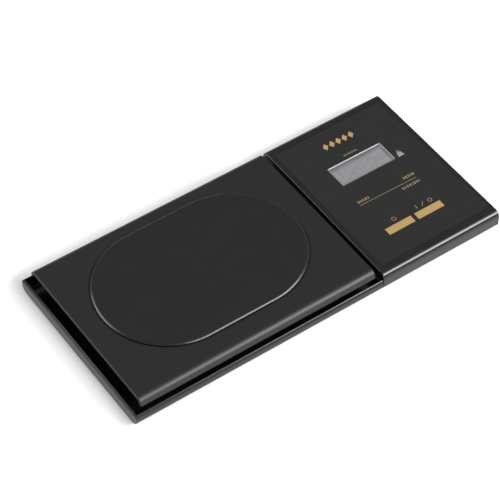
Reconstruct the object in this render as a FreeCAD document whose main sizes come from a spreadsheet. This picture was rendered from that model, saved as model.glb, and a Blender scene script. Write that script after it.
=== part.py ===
"""Slim digital gram scale: a flat tray with a load cell under a wide weighing plate, and a display block
at one end.

Millimetres. +X runs from the weighing plate to the display block, -Y is the user's side, +Z is up.
The origin is the middle of the footprint on the surface that the rubber feet stand on.
"""

import FreeCAD, Part

import math
import os
import re

import Sketcher

OUT = "parts"
os.makedirs(OUT, exist_ok=True)
doc = FreeCAD.newDocument("gram_scale")

# Driving dimensions: alias, value, what it is.
DIMENSIONS = [
    ("body_length", 150.0, "tray, end to end"),
    ("body_width", 71.0, "tray, side to side"),
    ("foot_height", 0.8, "rubber foot below the tray"),
    ("foot_radius", 4.0, "rubber foot"),
    ("foot_inset_x", 8.0, "foot centre to the end of the tray"),
    ("foot_inset_y", 8.0, "foot centre to the side of the tray"),
    ("floor_thick", 1.2, "tray floor"),
    ("case_wall", 1.2, "tray wall below the housing"),
    ("rim_wall", 0.9, "tray wall and rim around the bay"),
    ("lower_radius", 2.6, "tray's rounded lower long edges"),
    ("rim_height", 5.2, "tray underside to the top of the rim"),
    ("rim_round", 0.7, "rim's rounded outer edges"),
    ("rim_inner_round", 0.12, "rim's rounded inner edges"),
    ("shut_height", 2.1, "tray underside to the joint line below the housing"),
    ("shell_seam", 0.1, "gap between tray and housing"),
    ("lip_thick", 0.6, "register lip inside the housing wall"),
    ("lip_height", 1.7, "register lip above the floor"),
    ("housing_length", 50.2, "display housing along the tray"),
    ("housing_height", 7.8, "tray underside to the housing's top"),
    ("housing_wall", 1.4, "housing wall"),
    ("roof_thick", 1.0, "housing roof below the film"),
    ("housing_radius", 2.5, "housing's rounded upper long edges"),
    ("housing_end_round", 0.4, "housing's upper end edges"),
    ("film_thick", 0.3, "front panel film"),
    ("film_end_margin", 2.0, "film to the ends of the housing"),
    ("film_side_margin", 4.2, "film to the sides of the housing"),
    ("film_corner", 0.8, "film corner radius"),
    ("film_fit", 0.1, "film to its recess, and window to film"),
    ("window_length", 23.2, "viewing window"),
    ("window_width", 9.75, "viewing window"),
    ("window_y", 10.3, "viewing window's centre"),
    ("panel_shift", 0.4, "window and keys, left of the housing's middle"),
    ("roof_margin", 0.2, "roof opening past the window, each side"),
    ("key_length", 11.1, "key bar"),
    ("key_width", 3.0, "key bar"),
    ("key_pitch", 12.65, "key bars, centre to centre"),
    ("key_y", 20.35, "key bars, in front of the middle"),
    ("key_fit", 0.15, "key bar to the film and the roof"),
    ("key_flange", 0.6, "key flange past the bar, each side"),
    ("key_flange_thick", 0.3, "key flange"),
    ("key_plunger", 1.2, "key plunger radius"),
    ("key_slack", 0.05, "plunger to dome, and flange to roof"),
    ("dome_radius", 2.2, "snap dome"),
    ("dome_height", 0.3, "snap dome"),
    ("dome_round", 0.18, "snap dome's edge"),
    ("board_thick", 0.8, "circuit board"),
    ("board_lift", 2.2, "board above the tray floor"),
    ("board_gap", 1.2, "board edge to the housing's walls"),
    ("chip_width", 9.0, "controller chip"),
    ("chip_thick", 1.2, "controller chip"),
    ("chip_edge", 0.35, "controller chip's upper edges"),
    ("chip_x", 11.0, "controller chip from the housing's left end"),
    ("chip_y", 5.0, "controller chip, in front of the middle"),
    ("pin_pitch", 1.2, "controller chip pins"),
    ("pin_width", 0.45, "controller chip pins"),
    ("pin_thick", 0.25, "controller chip pins"),
    ("pin_span", 11.4, "controller chip over its pins"),
    ("capacitor_radius", 2.0, "capacitor"),
    ("capacitor_height", 1.9, "capacitor"),
    ("capacitor_x", 25.0, "first capacitor from the housing's left end"),
    ("capacitor_pitch", 18.0, "capacitors, centre to centre"),
    ("capacitor_inset", 12.0, "capacitors to the housing's far side"),
    ("crystal_length", 7.0, "crystal"),
    ("crystal_width", 3.2, "crystal"),
    ("crystal_height", 1.6, "crystal"),
    ("crystal_x", 8.0, "crystal from the housing's left end"),
    ("crystal_y", 17.0, "crystal, in front of the middle"),
    ("resistor_length", 2.0, "resistor"),
    ("resistor_width", 1.2, "resistor"),
    ("resistor_height", 0.5, "resistor"),
    ("resistor_x", 7.0, "first resistor from the housing's left end"),
    ("resistor_pitch", 3.0, "resistors, end to end"),
    ("resistor_inset", 13.0, "resistors to the housing's far side"),
    ("glass_length", 27.0, "display glass"),
    ("glass_width", 14.0, "display glass"),
    ("glass_thick", 1.3, "display glass"),
    ("glass_gap", 0.1, "display glass to roof and holder"),
    ("holder_wall", 1.0, "display holder wall"),
    ("zebra_width", 2.0, "connector strip"),
    ("post_radius", 2.6, "housing posts"),
    ("boss_radius", 3.0, "tray bosses"),
    ("post_inset_x", 6.2, "left posts to the housing's left end"),
    ("post_step_x", 29.0, "posts along the housing"),
    ("post_inset_y", 9.0, "posts to the housing's sides"),
    ("screw_radius", 1.0, "housing screw shank"),
    ("screw_head", 1.9, "housing screw head radius"),
    ("screw_reach", 6.0, "housing screw length"),
    ("screw_fit", 0.05, "screw shank to its hole"),
    ("board_screw_x", 20.0, "board screws from the housing's left end"),
    ("board_screw_inset_y", 8.0, "board screws to the housing's sides"),
    ("board_screw_radius", 0.8, "board screw shank"),
    ("board_screw_head", 1.6, "board screw head radius"),
    ("board_screw_head_deep", 0.9, "board screw head"),
    ("coin_radius", 10.0, "coin cell, 20 mm across"),
    ("coin_thick", 3.2, "coin cell"),
    ("coin_fit", 0.3, "coin cell to its pocket and above the cover"),
    ("coin_lid", 0.48, "coin cell's narrower lid"),
    ("coin_lid_inset", 1.2, "lid inside the coin cell's edge"),
    ("coin_edge", 0.3, "coin cell's rounded edge"),
    ("holder_end_gap", 1.5, "battery holder to the housing's end wall"),
    ("holder_key_gap", 0.35, "battery holder to the snap domes"),
    ("pocket_wall", 0.6, "battery holder wall"),
    ("bridge_thick", 0.6, "battery holder bridge over the coin"),
    ("bridge_width", 12.0, "battery holder bridge"),
    ("contact_thick", 0.2, "negative contact strip"),
    ("negative_length", 14.0, "negative contact"),
    ("negative_width", 5.0, "negative contact"),
    ("negative_corner", 1.5, "negative contact's corners"),
    ("positive_width", 5.2, "positive contact"),
    ("positive_height", 1.6, "positive contact"),
    ("positive_rise", 0.9, "positive contact above the coin's underside"),
    ("contact_fit", 0.05, "positive contact to the coin and the holder"),
    ("contact_bay", 0.6, "holder notch past the positive contact, each side"),
    ("cover_thick", 1.1, "battery cover"),
    ("cover_fit", 0.15, "battery cover to the tray"),
    ("cover_margin", 0.8, "battery cover past the coin, each side"),
    ("tongue_wide", 0.8, "battery cover tongue"),
    ("tongue_thick", 0.5, "battery cover tongue"),
    ("tongue_rise", 0.4, "battery cover tongue above the cover's underside"),
    ("rail_wall", 1.2, "tray rail past the tongue"),
    ("rail_rise", 0.7, "tray rail above the floor"),
    ("grip_pitch", 1.6, "battery cover grip ridges"),
    ("grip_deep", 0.3, "battery cover grip grooves"),
    ("grip_inset", 3.0, "grip to the cover's right end"),
    ("groove_gap", 2.5, "weighing plate to the housing"),
    ("end_gap", 3.0, "weighing plate to the tray's left end"),
    ("side_setback", 1.6, "weighing plate to the tray's sides"),
    ("plate_height", 9.8, "tray underside to the plate's top"),
    ("plate_thick", 1.1, "weighing plate"),
    ("skirt_depth", 3.0, "weighing plate's turned-down sides"),
    ("plate_end_round", 0.275, "weighing plate's upper end edges"),
    ("plate_radius", 2.6, "weighing plate's rounded long edges"),
    ("oval_radius", 26.5, "raised oval's round ends"),
    ("oval_straight", 26.0, "raised oval's straight sides"),
    ("oval_rise", 1.0, "raised oval above the plate"),
    ("oval_shift", 1.6, "raised oval behind the middle"),
    ("oval_round", 0.9, "raised oval's top edge"),
    ("dish_margin", 1.4, "oval's edge to its dish"),
    ("dish_deep", 0.4, "dish in the oval"),
    ("dish_slope", 82.0, "dish wall, degrees from upright"),
    ("peg_radius", 1.8, "weighing plate's locating pegs"),
    ("peg_reach", 1.0, "weighing plate's locating pegs"),
    ("peg_fit", 0.3, "peg to its hole"),
    ("press_travel", 0.4, "carrier stroke down to the overload stops"),
    ("cell_length", 47.0, "load cell"),
    ("cell_width", 12.0, "load cell"),
    ("cell_deep", 4.0, "load cell"),
    ("cell_boss", 1.2, "tray boss under the load cell's fixed end"),
    ("cell_end", 12.0, "load cell's clamped ends"),
    ("cell_bore", 1.5, "load cell's flexure holes"),
    ("cell_web", 12.0, "flexure holes, centre to centre"),
    ("cell_slot", 0.6, "half height of the slot between the flexure holes"),
    ("cell_screw_pitch", 6.0, "screws in each end of the load cell"),
    ("cell_screw_radius", 1.25, "load cell screw shank"),
    ("cell_screw_head", 2.3, "load cell screw head radius"),
    ("cell_screw_bite", 3.4, "load cell screws inside the load cell"),
    ("gauge_length", 6.0, "strain gauge"),
    ("gauge_width", 4.0, "strain gauge"),
    ("gauge_thick", 0.2, "strain gauge with its coating"),
    ("carrier_length", 74.0, "platform carrier"),
    ("carrier_width", 52.0, "platform carrier"),
    ("carrier_thick", 1.2, "platform carrier"),
    ("carrier_frame", 8.0, "carrier's outer frame"),
    ("carrier_spine", 15.0, "carrier's middle bar"),
    ("cushion_thick", 0.2, "rubber cushion on the carrier"),
    ("cushion_radius", 3.0, "rubber cushion"),
    ("cushion_step", 9.0, "cushion beside each peg"),
    ("rest_gap", 0.1, "weighing plate above the cushions"),
    ("peg_inset", 4.0, "pegs from the carrier's outer edges"),
    ("stop_radius", 1.5, "overload stop screw"),
    ("stop_boss", 3.0, "tray boss around a stop screw"),
    ("stop_boss_rise", 3.6, "tray boss above the floor"),
    ("stop_inset", 12.0, "stops from the carrier's ends"),
    ("stop_gap", 0.1, "carrier to stops at full stroke"),
    ("lead_radius", 0.35, "load cell lead"),
    ("lead_pitch", 1.1, "load cell leads, side by side"),
    ("lead_bend", 1.6, "load cell lead's bends"),
    ("lead_run", 3.0, "lead between two bends"),
    ("lead_way", 6.0, "notch in the bulkhead for the leads"),
    ("lead_rest", 0.02, "leads above the floor"),
    ("spare", 1.0, "how far a cut runs past what it cuts"),
]

# Levels and places that follow from the driving dimensions.
LEVELS = [
    ("tray_low", "Dims.foot_height"),
    ("floor_top", "Dims.foot_height + Dims.floor_thick"),
    ("rim_top", "Dims.foot_height + Dims.rim_height"),
    ("shut_line", "Dims.foot_height + Dims.shut_height"),
    ("housing_top", "Dims.foot_height + Dims.housing_height"),
    ("roof_top", "Dims.foot_height + Dims.housing_height - Dims.film_thick"),
    ("roof_low", "Dims.foot_height + Dims.housing_height - Dims.film_thick - Dims.roof_thick"),
    ("half_width", "Dims.body_width / 2"),
    ("right_end", "Dims.body_length / 2"),
    ("left_end", "-Dims.body_length / 2"),
    ("housing_left", "Dims.body_length / 2 - Dims.housing_length"),
    ("post_y", "half_width - Dims.post_inset_y"),
    ("board_screw_y", "half_width - Dims.board_screw_inset_y"),
    ("panel_x", "Dims.body_length / 2 - Dims.housing_length / 2 - Dims.panel_shift"),
    ("board_low", "Dims.foot_height + Dims.floor_thick + Dims.board_lift"),
    ("board_top", "Dims.foot_height + Dims.floor_thick + Dims.board_lift + Dims.board_thick"),
    ("plate_top", "Dims.foot_height + Dims.plate_height"),
    ("plate_low", "Dims.foot_height + Dims.plate_height - Dims.plate_thick"),
    ("plate_left", "Dims.end_gap - Dims.body_length / 2"),
    ("plate_right", "Dims.body_length / 2 - Dims.housing_length - Dims.groove_gap"),
    ("plate_mid", "(Dims.end_gap - Dims.housing_length - Dims.groove_gap) / 2"),
    ("plate_half", "Dims.body_width / 2 - Dims.side_setback"),
    ("carrier_top", "plate_low - Dims.rest_gap - Dims.cushion_thick"),
    ("carrier_low", "carrier_top - Dims.carrier_thick"),
    ("cell_low", "floor_top + Dims.cell_boss"),
    ("cell_top", "floor_top + Dims.cell_boss + Dims.cell_deep"),
    ("cell_right", "plate_mid + Dims.cell_length / 2"),
    ("cell_left", "plate_mid - Dims.cell_length / 2"),
    ("fixed_x", "cell_right - Dims.cell_end / 2"),
    ("free_x", "cell_left + Dims.cell_end / 2"),
    ("coin_low", "Dims.foot_height + Dims.cover_thick + Dims.coin_fit"),
    ("coin_top", "Dims.foot_height + Dims.cover_thick + Dims.coin_fit + Dims.coin_thick"),
    ("pocket_radius", "Dims.coin_radius + Dims.coin_fit"),
    ("holder_half", "pocket_radius + Dims.pocket_wall"),
    ("coin_mid_x", "right_end - Dims.housing_wall - Dims.holder_end_gap - holder_half"),
    ("coin_mid_y", "Dims.dome_radius + Dims.holder_key_gap + holder_half - Dims.key_y"),
    ("cover_half", "Dims.coin_radius + Dims.cover_margin"),
    ("cover_left", "coin_mid_x - Dims.coin_radius - Dims.cover_margin"),
    ("tongue_low", "Dims.foot_height + Dims.tongue_rise"),
    ("rail_top", "floor_top + Dims.rail_rise"),
    ("rail_half", "cover_half + Dims.cover_fit + Dims.tongue_wide + Dims.rail_wall"),
    ("glass_low", "roof_low - Dims.glass_gap - Dims.glass_thick"),
    ("plunger_low", "board_top + Dims.dome_height + Dims.key_slack"),
    ("flange_top", "roof_low - Dims.key_slack"),
    ("stop_top", "carrier_low - Dims.press_travel - Dims.stop_gap"),
]

dims = doc.addObject("Spreadsheet::Sheet", "Dims")
for row, (alias, value, meaning) in enumerate(DIMENSIONS, start=1):
    dims.set(f"A{row}", meaning)
    dims.set(f"B{row}", str(value))
    dims.setAlias(f"B{row}", alias)
doc.recompute()

levels = doc.addObject("Spreadsheet::Sheet", "Levels")
for row, (alias, formula) in enumerate(LEVELS, start=1):
    levels.set(f"B{row}", "=" + formula)
    levels.setAlias(f"B{row}", alias)
    doc.recompute()

OWNER = {alias: "Dims" for alias, value, meaning in DIMENSIONS}
OWNER.update({alias: "Levels" for alias, formula in LEVELS})


def full(text):
    """The expression with each alias given its sheet's name."""

    def owned(word):
        return f"{OWNER[word[0]]}.{word[0]}" if word[0] in OWNER else word[0]

    return re.sub(r"[a-z][a-z_]*", owned, text)


def value(text):
    """What an expression of the aliases comes to now."""
    return float(dims.evalExpression(full(text)))


pieces = []


class Piece:
    """A PartDesign body made by padding and cutting plan outlines at given heights."""

    def __init__(self, label, x="0", y="0", z="0"):
        self.body = doc.addObject("PartDesign::Body", label)
        self.body.Label = label
        for axis, text in zip("xyz", (x, y, z)):
            self.body.setExpression(f"Placement.Base.{axis}", full(text))
        self.count = 0
        pieces.append(self.body)

    def sketch(self, role, lift):
        self.count += 1
        made = self.body.newObject("Sketcher::SketchObject", f"{self.body.Label}_outline_{self.count}")
        plane = [o for o in self.body.Origin.OriginFeatures if o.Role == role][0]
        made.AttachmentSupport = [(plane, "")]
        made.MapMode = "FlatFace"
        made.setExpression("AttachmentOffset.Base.z", full(lift))
        return made

    def feature(self, kind, sketch, length):
        made = self.body.newObject("PartDesign::" + kind, f"{self.body.Label}_{kind.lower()}_{self.count}")
        made.Profile = sketch
        made.setExpression("Length", full(length))
        sketch.Visibility = False
        return made

    def pad(self, low, height, *outlines, role="XY_Plane"):
        """Adds the outlines' area, from low upwards along the plane's normal."""
        sketch = self.sketch(role, low)
        for outline in outlines:
            outline(sketch)
        made = self.feature("Pad", sketch, height)
        doc.recompute()
        return made

    def cut(self, low, height, *outlines, role="XY_Plane", taper=None):
        """Removes the outlines' area between low and low + height.

        A taper narrows the cut below its mouth at the top.
        """
        before = self.body.Shape.Volume
        if taper is None:
            sketch = self.sketch(role, low)
        else:
            sketch = self.sketch(role, f"{low} + {height}")
        for outline in outlines:
            outline(sketch)
        made = self.feature("Pocket", sketch, height)
        made.Reversed = taper is None
        if taper is not None:
            made.setExpression("TaperAngle", full("-" + taper))
        doc.recompute()
        if self.body.Shape.Volume > before - 1e-6:
            raise RuntimeError(f"{made.Label} removes nothing")
        return made

    def soften(self, radius, chosen, kind="Fillet"):
        """Rounds, or chamfers, the edges for which chosen(edge) is true."""
        base = self.body.Tip
        names = [f"Edge{n}" for n, edge in enumerate(base.Shape.Edges, start=1) if chosen(edge)]
        if not names:
            raise RuntimeError(f"{self.body.Label} has no edge to round")
        self.count += 1
        made = self.body.newObject("PartDesign::" + kind, f"{self.body.Label}_{kind.lower()}_{self.count}")
        made.Base = (base, names)
        made.setExpression("Radius" if kind == "Fillet" else "Size", full(radius))
        doc.recompute()
        if "Invalid" in made.State:
            raise RuntimeError(f"{made.Label} can't be made")
        return made


def fix(sketch, geometry, point, x, y):
    """Ties a point of a sketch to the sketch's origin by two driven distances."""
    for kind, text in (("DistanceX", x), ("DistanceY", y)):
        index = sketch.addConstraint(Sketcher.Constraint(kind, -1, 1, geometry, point, value(text)))
        sketch.setExpression(f"Constraints[{index}]", full(text))


def polygon(*corners):
    """A closed outline through corners given as pairs of expressions."""

    def draw(sketch):
        at = [FreeCAD.Vector(value(x), value(y), 0) for x, y in corners]
        lines = [sketch.addGeometry(Part.LineSegment(at[n], at[(n + 1) % len(at)])) for n in range(len(at))]
        for n, line in enumerate(lines):
            sketch.addConstraint(Sketcher.Constraint("Coincident", line, 2, lines[(n + 1) % len(lines)], 1))
            fix(sketch, line, 1, *corners[n])

    return draw


def box(x0, x1, y0, y1):
    """A rectangle between two values of x and two of y."""
    return polygon((x0, y0), (x1, y0), (x1, y1), (x0, y1))


def block(x, y, length, width):
    """A rectangle about a centre."""
    half_x, half_y = f"({length}) / 2", f"({width}) / 2"
    return box(f"{x} - {half_x}", f"{x} + {half_x}", f"{y} - {half_y}", f"{y} + {half_y}")


def disc(x, y, radius):
    """A circle."""

    def draw(sketch):
        middle = FreeCAD.Vector(value(x), value(y), 0)
        ring = sketch.addGeometry(Part.Circle(middle, FreeCAD.Vector(0, 0, 1), value(radius)))
        fix(sketch, ring, 3, x, y)
        index = sketch.addConstraint(Sketcher.Constraint("Radius", ring, value(radius)))
        sketch.setExpression(f"Constraints[{index}]", full(radius))

    return draw


def oval(x, y, straight, radius):
    """Two straight sides along x joined by two half circles."""

    def draw(sketch):
        right, left = f"{x} + ({straight}) / 2", f"{x} - ({straight}) / 2"
        low, high = f"{y} - ({radius})", f"{y} + ({radius})"
        axis = FreeCAD.Vector(0, 0, 1)
        quarter = math.pi / 2

        def spot(a, b):
            return FreeCAD.Vector(value(a), value(b), 0)

        front = sketch.addGeometry(Part.LineSegment(spot(left, low), spot(right, low)))
        ring = Part.Circle(spot(right, y), axis, value(radius))
        east = sketch.addGeometry(Part.ArcOfCircle(ring, -quarter, quarter))
        back = sketch.addGeometry(Part.LineSegment(spot(right, high), spot(left, high)))
        ring = Part.Circle(spot(left, y), axis, value(radius))
        west = sketch.addGeometry(Part.ArcOfCircle(ring, quarter, 3 * quarter))
        joins = ((front, 2, east, 1), (east, 2, back, 1), (back, 2, west, 1), (west, 2, front, 1))
        for first, end, second, start in joins:
            sketch.addConstraint(Sketcher.Constraint("Coincident", first, end, second, start))
        for line, x_text, y_text in ((front, left, low), (back, right, high)):
            fix(sketch, line, 1, x_text, y_text)
        fix(sketch, east, 3, right, y)
        fix(sketch, west, 3, left, y)

    return draw


def middle(edge):
    """The middle point of an edge."""
    return edge.valueAt((edge.FirstParameter + edge.LastParameter) / 2)


def along(edge, axis):
    """Whether a straight edge runs along an axis, 0 for x, 1 for y or 2 for z."""
    ends = [v.Point for v in edge.Vertexes]
    if len(ends) < 2 or not isinstance(edge.Curve, (Part.Line, Part.LineSegment)):
        return False
    step = ends[1] - ends[0]
    return abs(abs(step[axis]) - step.Length) < 1e-6


def near(a, b):
    return abs(a - b) < 1e-4


def side_edge(height, side):
    """A test for the long straight edges at a height, one on each side of the middle."""
    z, y = value(height), value(side)
    return lambda edge: along(edge, 0) and near(middle(edge).z, z) and near(abs(middle(edge).y), y)


def hole_rim(height, radius):
    """A test for the round edges of one radius at a height."""
    z, size = value(height), value(radius)

    def chosen(edge):
        ring = edge.Curve
        return isinstance(ring, Part.Circle) and near(ring.Center.z, z) and near(ring.Radius, size)

    return chosen


def base_tray():
    tray = Piece("base_tray")
    tray.pad("tray_low", "rim_height", box("left_end", "right_end", "-half_width", "half_width"))
    tray.soften("lower_radius", side_edge("tray_low", "half_width"))
    # The bay below the weighing plate, and the lower bay below the housing.
    bay_right = "housing_left - case_wall"
    inner = "half_width - case_wall"
    bay_side = "half_width - rim_wall"
    past = "half_width + spare"
    tray.cut("floor_top", "rim_top", box("left_end + rim_wall", bay_right, f"-({bay_side})", bay_side))
    step = ("housing_left - shell_seam", "right_end + spare")
    tray.cut("shut_line", "rim_top", box(*step, f"-({past})", past))
    tray.cut("floor_top", "rim_top", box("housing_left", "right_end - case_wall", f"-({inner})", inner))
    tray.soften("lower_radius - rim_wall", side_edge("floor_top", bay_side))
    rim, side, left = value("rim_top"), value("half_width"), value("left_end")
    outer = lambda e: near(abs(middle(e).y), side) or near(middle(e).x, left)
    tray.soften("rim_round", lambda e: near(middle(e).z, rim) and outer(e))
    wall = value("rim_wall + rim_round") / 2
    inner_rim = lambda e: abs(middle(e).y) < side - wall and middle(e).x > left + wall
    tray.soften("rim_inner_round", lambda e: near(middle(e).z, rim) and inner_rim(e))
    bulkhead = "housing_left - case_wall / 2"
    tray.cut("floor_top", "shut_height", block(bulkhead, "0", "2 * case_wall", "lead_way"))
    # The lips that register the housing.
    lip = "half_width - housing_wall - shell_seam"
    lip_ends = ("housing_left + housing_wall", "right_end - 2 * housing_wall")
    tray.pad("floor_top", "lip_height", box(*lip_ends, f"{lip} - lip_thick", lip))
    tray.pad("floor_top", "lip_height", box(*lip_ends, f"-({lip})", f"-({lip} - lip_thick)"))
    # Bosses for the load cell, the overload stops and the housing screws.
    tray.pad("floor_top", "cell_boss", block("fixed_x", "0", "cell_end", "cell_width"))
    tray.pad("floor_top", "stop_boss_rise", *[disc(x, y, "stop_boss") for x, y in STOPS])
    tray.pad("floor_top", "board_lift", *[disc(x, y, "boss_radius") for x, y in POSTS])
    # The battery cover's rails, recess, opening and tongue grooves.
    recess_left = "cover_left - cover_fit"
    tray.pad(
        "floor_top",
        "rail_rise",
        box(
            f"{recess_left} - rail_wall",
            "right_end - case_wall",
            "coin_mid_y - rail_half",
            "coin_mid_y + rail_half",
        ),
    )
    recess = "(cover_half + cover_fit)"
    opening = "cover_half"
    groove = "(cover_half + 2 * cover_fit + tongue_wide)"
    tray.cut(
        "tray_low",
        "cover_thick + cover_fit",
        box(recess_left, "right_end + spare", f"coin_mid_y - {recess}", f"coin_mid_y + {recess}"),
    )
    tray.cut(
        "tray_low",
        "floor_thick + rail_rise + spare",
        box(recess_left, "right_end - case_wall", f"coin_mid_y - {opening}", f"coin_mid_y + {opening}"),
    )
    tray.cut(
        "tongue_low - cover_fit",
        "tongue_thick + 2 * cover_fit",
        box(recess_left, "right_end + spare", f"coin_mid_y - {groove}", f"coin_mid_y + {groove}"),
    )
    # Screw holes with countersinks below, and the stops' threads.
    tray.cut("0", "2 * board_low", *[disc(x, y, "screw_radius + screw_fit") for x, y in POSTS])
    tray.cut("0", "2 * cell_low", *[disc(x, y, "cell_screw_radius + screw_fit") for x, y in FIXED_SCREWS])
    tray.cut("floor_top", "2 * stop_boss_rise", *[disc(x, y, "stop_radius") for x, y in STOPS])
    for shank, head in (("screw_radius", "screw_head"), ("cell_screw_radius", "cell_screw_head")):
        tray.soften(f"{head} - {shank}", hole_rim("tray_low", f"{shank} + screw_fit"), kind="Chamfer")
    return tray


def display_housing():
    housing = Piece("display_housing")
    low = "shut_line + shell_seam"
    housing.pad(low, f"housing_top - ({low})", box("housing_left", "right_end", "-half_width", "half_width"))
    housing.soften("housing_radius", side_edge("housing_top", "half_width"))
    curve_low, left, right = value("housing_top - housing_radius"), value("housing_left"), value("right_end")

    def end_edge(edge):
        spot = middle(edge)
        return spot.z > curve_low and (near(spot.x, left) or near(spot.x, right)) and not along(edge, 2)

    housing.soften("housing_end_round", end_edge)
    inner = "half_width - housing_wall"
    housing.cut(
        low,
        f"roof_low - ({low})",
        box("housing_left + housing_wall", "right_end - housing_wall", f"-({inner})", inner),
    )
    # The film's recess, the window's opening and the two key slots.
    margin = "film_end_margin - film_fit"
    side = "half_width - film_side_margin + film_fit"
    housing.cut(
        "roof_top",
        "film_thick + spare",
        box(f"housing_left + {margin}", f"right_end - ({margin})", f"-({side})", side),
    )
    housing.soften(
        "film_corner + film_fit",
        lambda e: along(e, 2) and middle(e).z > value("roof_top") and near(e.Length, value("film_thick")),
    )
    housing.cut(
        "roof_low - spare",
        "roof_thick + 2 * spare",
        block("panel_x", "window_y", *(f"{size} + 2 * roof_margin" for size in WINDOW)),
        *key_slots(),
    )
    # Posts down to the circuit board, drilled for the screws.
    posts = [disc(x, y, "post_radius") for x, y in POSTS + BOARD_SCREWS]
    housing.pad("board_top", "roof_low - board_top", *posts)
    threads = [disc(x, y, "screw_radius") for x, y in POSTS]
    housing.cut("board_top", "screw_reach - board_top + tray_low", *threads)
    threads = [disc(x, y, "board_screw_radius") for x, y in BOARD_SCREWS]
    housing.cut("board_top", "1.5 * board_thick", *threads)
    return housing


def key_slots():
    """Outlines of the slots that the two key bars stand in."""
    return [block(x, "-key_y", "key_length + 2 * key_fit", "key_width + 2 * key_fit") for x in KEYS.values()]


def front_panel():
    film = Piece("front_panel_overlay", z="roof_top")
    side = "half_width - film_side_margin"
    film.pad(
        "0",
        "film_thick",
        box("housing_left + film_end_margin", "right_end - film_end_margin", f"-({side})", side),
    )
    film.soften("film_corner", lambda e: along(e, 2))
    film.cut("0", "film_thick", block("panel_x", "window_y", *WINDOW), *key_slots())
    window = Piece("lcd_window", z="roof_top")
    clear = (f"{size} - 2 * film_fit" for size in WINDOW)
    window.pad("0", "film_thick", block("panel_x", "window_y", *clear))
    return film


def key(label, x):
    """A key bar flush with the film, with a flange below the roof and a plunger over its snap dome."""
    made = Piece(label, x=x, y="-key_y")
    made.pad("flange_top", "housing_top - flange_top", block("0", "0", "key_length", "key_width"))
    flange = ("key_length + 2 * key_flange", "key_width + 2 * key_flange")
    made.pad("flange_top - key_flange_thick", "key_flange_thick", block("0", "0", *flange))
    made.pad("plunger_low", "flange_top - plunger_low", disc("0", "0", "key_plunger"))
    dome = Piece(label + "_dome", x=x, y="-key_y", z="board_top")
    dome.pad("0", "dome_height", disc("0", "0", "dome_radius"))
    dome.soften("dome_round", lambda e: near(middle(e).z, value("dome_height")))
    return made


def display_stack():
    glass = Piece("lcd_module", x="panel_x", y="window_y", z="glass_low")
    glass.pad("0", "glass_thick / 2", block("0", "0", "glass_length", "glass_width"))
    front = block("0", "-zebra_width / 2", "glass_length", "glass_width - zebra_width")
    glass.pad("glass_thick / 2", "glass_thick / 2", front)
    # The viewing face stands in the roof's opening, just below the window.
    face = block("0", "0", *(f"{size} + 2 * (roof_margin - glass_gap)" for size in WINDOW))
    glass.pad("glass_thick", "roof_thick", face)
    holder = Piece("lcd_holder", x="panel_x", y="window_y")
    bay = ("glass_length + 2 * glass_gap", "glass_width + 2 * glass_gap")
    frame = [f"{size} + 2 * holder_wall" for size in bay]
    holder.pad("glass_low - glass_gap", "glass_thick", block("0", "0", *frame))
    holder.cut("glass_low - glass_gap", "glass_thick", block("0", "0", *bay))
    back = "(glass_width / 2 + glass_gap)"
    end = "glass_length / 2"
    holder.pad(
        "board_top",
        "glass_low - board_top",
        box(f"-{end}", end, back, f"{back} + holder_wall"),
        box(f"-{end} - holder_wall", f"-{end} + 2 * holder_wall", f"-{back} - holder_wall", f"-{back}"),
    )
    zebra = Piece("lcd_zebra_connector", x="panel_x", y="window_y", z="board_top")
    zebra.pad(
        "0",
        "glass_low - board_top",
        block("0", "(glass_width - zebra_width) / 2", "glass_length - 2 * holder_wall", "zebra_width"),
    )
    return holder


def circuit_board():
    board = Piece("main_circuit_board", z="board_low")
    edge = "housing_wall + board_gap"
    left, right, side = f"housing_left + {edge}", f"right_end - ({edge})", f"half_width - ({edge})"
    notch_left = "coin_mid_x - holder_half - board_gap"
    notch_near = "coin_mid_y - holder_half - coin_fit"
    notch_far = "coin_mid_y + holder_half + board_gap"
    board.pad(
        "0",
        "board_thick",
        polygon(
            (left, f"-({side})"),
            (right, f"-({side})"),
            (right, notch_near),
            (notch_left, notch_near),
            (notch_left, notch_far),
            (right, notch_far),
            (right, side),
            (left, side),
        ),
    )
    for shank, places in (("screw_radius", POSTS), ("board_screw_radius", BOARD_SCREWS)):
        board.cut("0", "board_thick", *[disc(x, y, f"{shank} + 2 * screw_fit") for x, y in places])
    chip = Piece("controller_chip", x="housing_left + chip_x", y="-chip_y", z="board_top")
    chip.pad("0", "chip_thick", block("0", "0", "chip_width", "chip_width"))
    chip.soften("chip_edge", lambda e: near(middle(e).z, value("chip_thick")))
    first_pin = (PIN_COUNT - 1) / 2
    pins = [block(f"{n - first_pin} * pin_pitch", "0", "pin_width", "pin_span") for n in range(PIN_COUNT)]
    chip.pad("0", "pin_thick", *pins)
    return board


def small_components():
    """The crystal, capacitors and resistors on the circuit board, as one node of separate solids."""
    members = []
    for n in range(2):
        x = f"housing_left + capacitor_x + {n} * capacitor_pitch"
        y = "half_width - capacitor_inset"
        members.append(cylinder(f"capacitor_{n}", "capacitor_radius", "capacitor_height", x, y, "board_top"))
    size = ("crystal_length", "crystal_width", "crystal_height")
    members.append(slab("crystal", *size, "housing_left + crystal_x", "-crystal_y", "board_top"))
    size = ("resistor_length", "resistor_width", "resistor_height")
    for n in range(RESISTOR_COUNT):
        x = f"housing_left + resistor_x + {n} * resistor_pitch"
        members.append(slab(f"resistor_{n}", *size, x, "half_width - resistor_inset", "board_top"))
    return group("board_components", members)


def place(made, x, y, z):
    for axis, text in zip("xyz", (x, y, z)):
        made.setExpression(f"Placement.Base.{axis}", full(text))
    return made


def group(label, members):
    """One node of several separate solids."""
    made = doc.addObject("Part::Compound", label)
    made.Label = label
    made.Links = members
    pieces.append(made)
    return made


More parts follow.
